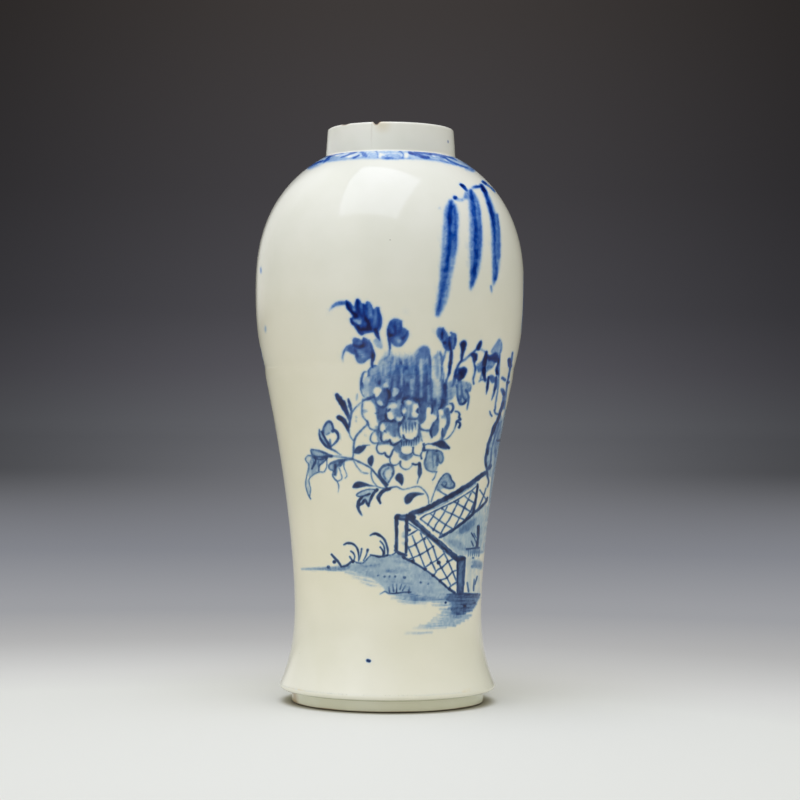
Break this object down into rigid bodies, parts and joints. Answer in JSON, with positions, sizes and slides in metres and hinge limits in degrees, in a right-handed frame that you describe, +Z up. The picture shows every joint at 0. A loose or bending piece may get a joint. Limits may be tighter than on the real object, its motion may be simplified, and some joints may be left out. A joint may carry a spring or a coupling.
{
  "type": "baluster vase",
  "caption": "Tall hollow baluster vase with a high rounded shoulder, a short upright neck, a narrow waist and a flared skirt over a recessed standing ring.",
  "frame": {"origin": "centre of the standing face under the foot ring", "axes": "+Z up along the axis the vase was thrown about, -Y towards the painted front, +X to the right of that front"},
  "size_m": [0.134, 0.134, 0.285],
  "materials": {
    "body_glaze": "clear glossy glaze over white porcelain with a brush-painted cobalt garden scene",
    "foot_glaze": "pooled greenish grey glaze, wiped off the standing face",
    "slip": "smooth fired slip under a thin glaze"
  },
  "bodies": {
    "root": {"foot_ring": "foot_glaze", "foot_slip": "slip", "lower_body": "body_glaze", "seam_slip": "slip", "upper_body": "body_glaze", "neck_slip": "slip", "neck": "body_glaze"}
  },
  "joints": []
}
